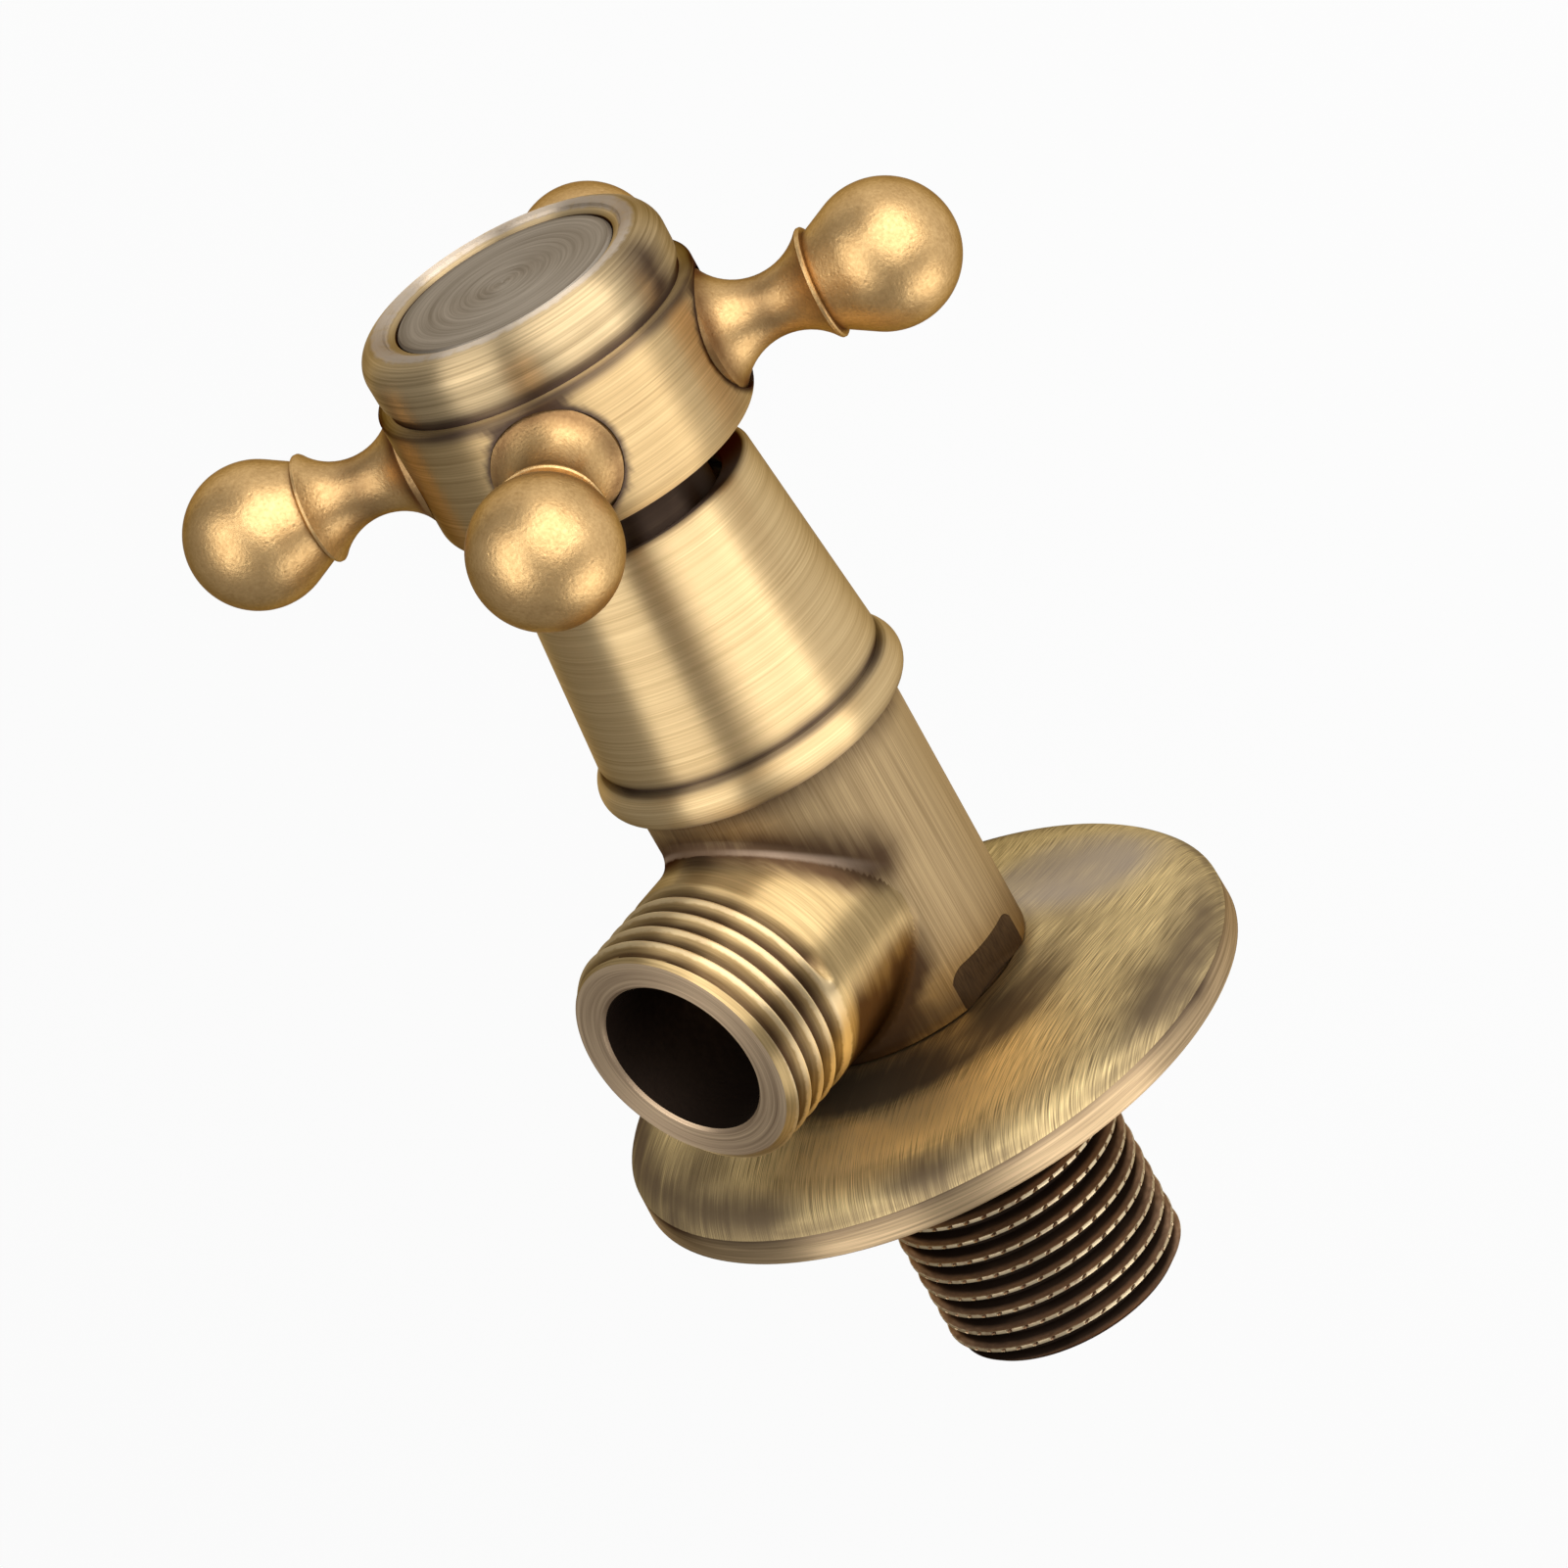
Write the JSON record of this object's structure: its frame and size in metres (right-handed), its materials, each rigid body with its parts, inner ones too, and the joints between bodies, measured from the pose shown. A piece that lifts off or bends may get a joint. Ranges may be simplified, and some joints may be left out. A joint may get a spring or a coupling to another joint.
{
  "type": "angle valve",
  "caption": "Brass angle valve with a four-ball cross handle, tapered cover sleeve, side outlet and round wall flange; a quarter turn opens it.",
  "frame": {"origin": "centre of the wall plane, which is the back rim of the flange, on the axis of the inlet shank", "axes": "+Y along the inlet shank into the wall, -Y towards the handle, +Z along the outlet"},
  "size_m": [0.0568, 0.1, 0.0568],
  "materials": {
    "brushed_brass": "brushed antique brass, lacquered",
    "cast_brass": "satin cast antique brass",
    "disc_brass": "turned dark antique brass",
    "turned_brass": "bare machined brass",
    "ceramic": "lapped alumina",
    "black_rubber": "moulded rubber",
    "steel": "plain stainless"
  },
  "bodies": {
    "valve": {"valve_body": "brushed_brass", "cover_sleeve": "brushed_brass", "sleeve_o_ring": "black_rubber", "cartridge_housing": "turned_brass", "body_o_ring": "black_rubber", "seat_seal": "black_rubber", "lower_ceramic_disc": "ceramic", "thrust_washer": "steel"},
    "handle": {"handle_hub": "brushed_brass", "handle_arm_1": "cast_brass", "handle_arm_2": "cast_brass", "handle_arm_3": "cast_brass", "handle_arm_4": "cast_brass", "cap_ring": "brushed_brass", "index_disc": "disc_brass", "handle_screw": "steel", "spindle": "turned_brass", "upper_ceramic_disc": "ceramic", "spindle_o_ring_lower": "black_rubber", "spindle_o_ring_upper": "black_rubber", "retaining_clip": "steel"},
    "flange": {"wall_flange": "brushed_brass"}
  },
  "joints": [
    {"name": "handle_turn", "type": "hinge", "parent": "valve", "child": "handle", "pos_m": [0, -0.0644, 0], "axis": [0, -1, 0], "range_deg": [0, 90]},
    {"name": "flange_slide", "type": "slide", "parent": "valve", "child": "flange", "axis": [0, 1, 0], "range_m": [0, 0.012]}
  ]
}
